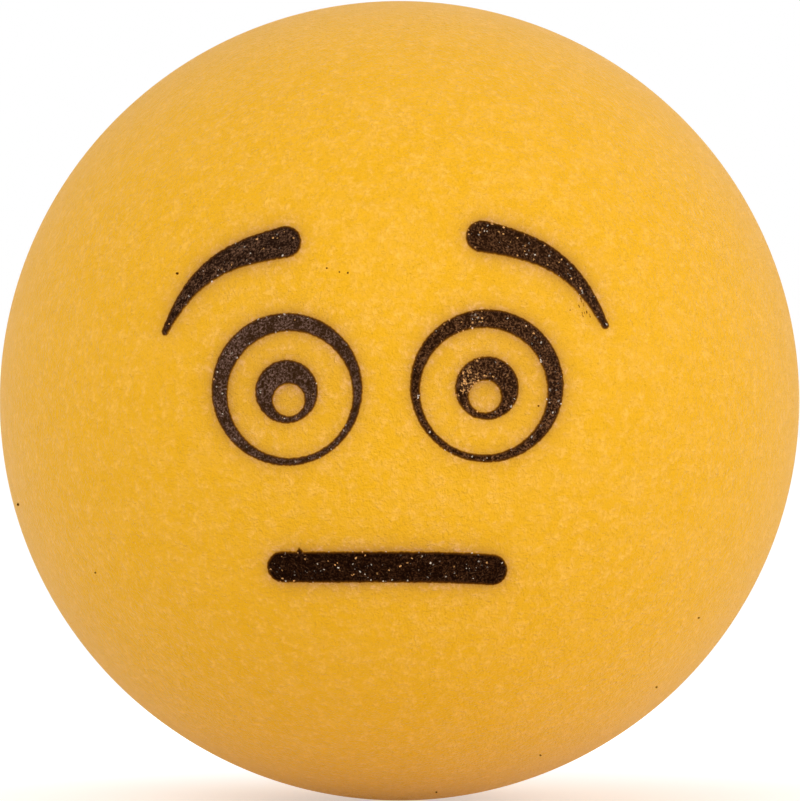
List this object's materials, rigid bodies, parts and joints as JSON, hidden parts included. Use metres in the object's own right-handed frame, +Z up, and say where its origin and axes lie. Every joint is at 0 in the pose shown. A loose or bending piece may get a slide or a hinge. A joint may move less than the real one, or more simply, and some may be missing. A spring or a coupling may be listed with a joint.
{
  "type": "table tennis ball",
  "caption": "Hollow plastic ball of 40 mm diameter, moulded as half-shells joined by a stepped glued seam, with a plain emoticon face printed on the front.",
  "frame": {"origin": "the ball's centre", "axes": "-Y out through the middle of the printed face, +Z up through the face's forehead, the seam in the XZ plane"},
  "size_m": [0.04, 0.04, 0.04],
  "materials": {
    "ball_plastic": "matt yellow-orange plastic, finely mottled",
    "seam_cement": "dried solvent cement, the ball's own plastic, slightly glossier",
    "print_ink": "brown-black pad-printing ink, semi-gloss and grainy"
  },
  "bodies": {
    "root": {"front_half_shell": "ball_plastic", "rear_half_shell": "ball_plastic", "seam_cement": "seam_cement", "eye_ring_print_left": "print_ink", "eye_ring_print_right": "print_ink", "pupil_print_left": "print_ink", "pupil_print_right": "print_ink", "brow_print_left": "print_ink", "brow_print_right": "print_ink", "mouth_print": "print_ink"}
  },
  "joints": []
}
